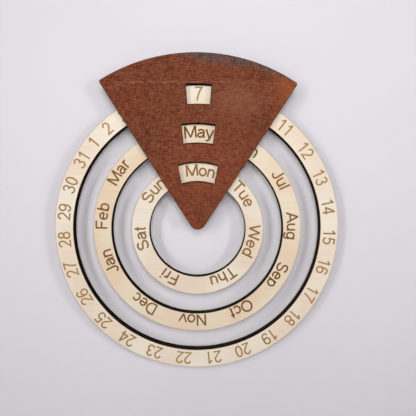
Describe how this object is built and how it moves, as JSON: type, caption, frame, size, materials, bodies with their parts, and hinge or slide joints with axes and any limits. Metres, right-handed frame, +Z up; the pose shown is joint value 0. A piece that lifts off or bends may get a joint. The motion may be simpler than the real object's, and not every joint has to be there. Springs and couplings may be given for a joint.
{
  "type": "perpetual wall calendar",
  "caption": "Wall calendar of concentric plywood rings that turn by hand behind a sector-shaped plate with reading windows, hung by a keyhole in its back plate.",
  "frame": {"origin": "middle of the keyhole's entry, on the plane of the wall", "axes": "+Z up, -Y out of the front towards the reader, +Y into the wall"},
  "size_m": [0.25, 0.0168, 0.2765],
  "materials": {
    "birch_plywood": "sanded birch plywood with charred laser-cut edges",
    "stained_plywood": "mahogany-stained plywood, satin",
    "card_shim": "pressed fibre card",
    "zinc_steel": "zinc-plated steel"
  },
  "bodies": {
    "holder": {"front_plate": "stained_plywood", "back_plate": "birch_plywood", "top_spacer_front": "birch_plywood", "top_spacer_back": "birch_plywood", "top_spacer_shim": "card_shim", "date_rail_front": "birch_plywood", "date_rail_back": "birch_plywood", "date_rail_shim": "card_shim", "month_rail_front": "birch_plywood", "month_rail_back": "birch_plywood", "month_rail_shim": "card_shim", "weekday_rail_front": "birch_plywood", "weekday_rail_back": "birch_plywood", "weekday_rail_shim": "card_shim", "wood_screws": "zinc_steel"},
    "date_ring": {"date_ring_face": "birch_plywood", "date_ring_back": "birch_plywood"},
    "month_ring": {"month_ring_face": "birch_plywood", "month_ring_back": "birch_plywood"},
    "weekday_ring": {"weekday_ring_face": "birch_plywood", "weekday_ring_back": "birch_plywood"}
  },
  "joints": [
    {"name": "date_ring_turn", "type": "hinge", "parent": "holder", "child": "date_ring", "pos_m": [0, -0.0084, -0.135], "axis": [0, -1, 0], "continuous": true},
    {"name": "month_ring_turn", "type": "hinge", "parent": "holder", "child": "month_ring", "pos_m": [0, -0.0084, -0.135], "axis": [0, -1, 0], "continuous": true},
    {"name": "weekday_ring_turn", "type": "hinge", "parent": "holder", "child": "weekday_ring", "pos_m": [0, -0.0084, -0.135], "axis": [0, -1, 0], "continuous": true}
  ]
}
